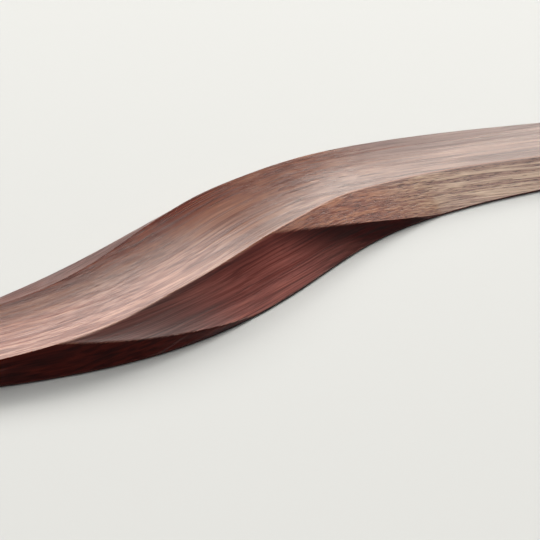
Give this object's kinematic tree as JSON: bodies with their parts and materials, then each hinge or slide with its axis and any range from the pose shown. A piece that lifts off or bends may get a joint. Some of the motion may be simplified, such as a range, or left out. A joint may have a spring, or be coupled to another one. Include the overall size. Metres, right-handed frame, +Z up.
{
  "type": "boomerang",
  "caption": "Lazy-S throwing boomerang, bent-laminated from walnut strips on edge and carved to an airfoil with blunt leading and thin trailing edges.",
  "frame": {"origin": "middle of the elbow on the flat underside, which is the resting plane", "axes": "+X from one tip to the other, +Z up through the crown, +Y across the blade"},
  "size_m": [0.3876, 0.0868, 0.013],
  "materials": {
    "walnut": "satin oil, fine open grain along the bend"
  },
  "bodies": {
    "root": {"lamination_01": "walnut", "lamination_02": "walnut", "lamination_03": "walnut", "lamination_04": "walnut", "lamination_05": "walnut", "lamination_06": "walnut", "lamination_07": "walnut", "lamination_08": "walnut", "lamination_09": "walnut", "lamination_10": "walnut", "lamination_11": "walnut", "lamination_12": "walnut", "lamination_13": "walnut", "lamination_14": "walnut", "lamination_15": "walnut", "lamination_16": "walnut", "lamination_17": "walnut"}
  },
  "joints": []
}
